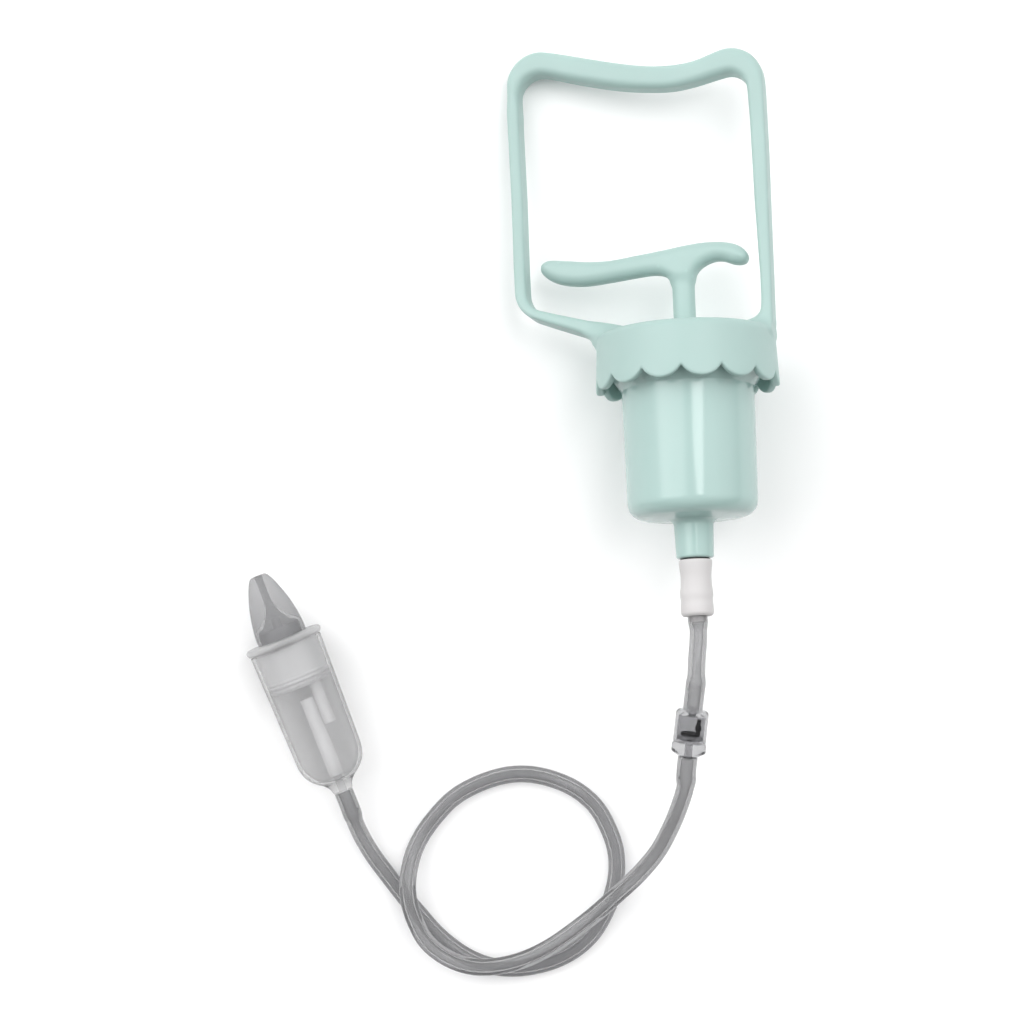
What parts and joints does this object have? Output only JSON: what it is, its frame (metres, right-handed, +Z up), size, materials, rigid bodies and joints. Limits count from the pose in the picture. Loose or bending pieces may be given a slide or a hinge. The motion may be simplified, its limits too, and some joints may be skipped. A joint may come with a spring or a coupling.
{
  "type": "manual nasal aspirator",
  "caption": "Mint squeeze-handle piston pump with a scalloped collar, a clear check valve, a long soft hose, a collection cup and a soft nose tip.",
  "frame": {"origin": "middle of the bottom of the box round the rigid pieces, on the table", "axes": "+Y along the pump towards its handle, +Z up from the table"},
  "size_m": [0.184, 0.326, 0.0637],
  "materials": {
    "mint_satin": "satin",
    "mint_gloss": "gloss",
    "white_plastic": "matt",
    "clear_grey": "clear",
    "cup_plastic": "frosted clear",
    "stopper_plastic": "frosted clear",
    "smoke_silicone": "soft, translucent",
    "hose_silicone": "soft, translucent",
    "black_rubber": "matt",
    "pale_rubber": "matt",
    "acetal": "smooth",
    "steel": "drawn wire and plated"
  },
  "bodies": {
    "pump_and_hose": {"handle_frame": "mint_satin", "rod_guide_bush": "acetal", "spring_washer": "steel", "collar_gasket": "pale_rubber", "pump_barrel": "mint_gloss", "return_spring": "steel", "nozzle_washer": "black_rubber", "hose_connector": "white_plastic", "pump_hose": "hose_silicone", "valve_body": "clear_grey", "valve_seat": "clear_grey", "valve_cap": "clear_grey", "cup_hose": "hose_silicone", "collection_cup": "cup_plastic"},
    "plunger": {"plunger": "mint_satin", "piston_head": "acetal", "piston_seal": "black_rubber", "piston_screw": "steel"},
    "exhaust_flap": {"exhaust_flap": "black_rubber"},
    "valve_disc": {"valve_disc": "black_rubber"},
    "stopper": {"cup_stopper": "stopper_plastic", "drip_tube": "stopper_plastic"},
    "nose_tip": {"nose_tip": "smoke_silicone"}
  },
  "joints": [
    {"name": "plunger_slide", "type": "slide", "parent": "pump_and_hose", "child": "plunger", "axis": [-0.0341, 0.992, -0.1219], "range_m": [0, 0.03], "stiffness_N_per_m": 330, "springref_m": -0.012, "deforming": ["return_spring"]},
    {"name": "exhaust_flap_lift", "type": "slide", "parent": "plunger", "child": "exhaust_flap", "axis": [-0.0341, 0.992, -0.1219], "range_m": [0, 0.0008], "stiffness_N_per_m": 60, "springref_m": -0.0005},
    {"name": "valve_disc_lift", "type": "slide", "parent": "pump_and_hose", "child": "valve_disc", "axis": [0.0951, 0.988, 0.1219], "range_m": [0, 0.001], "stiffness_N_per_m": 40, "springref_m": -0.0004},
    {"name": "stopper_pull", "type": "slide", "parent": "pump_and_hose", "child": "stopper", "axis": [-0.3662, 0.9295, 0.0434], "range_m": [0, 0.045]},
    {"name": "nose_tip_pull", "type": "slide", "parent": "stopper", "child": "nose_tip", "axis": [-0.3662, 0.9295, 0.0434], "range_m": [0, 0.02]}
  ]
}
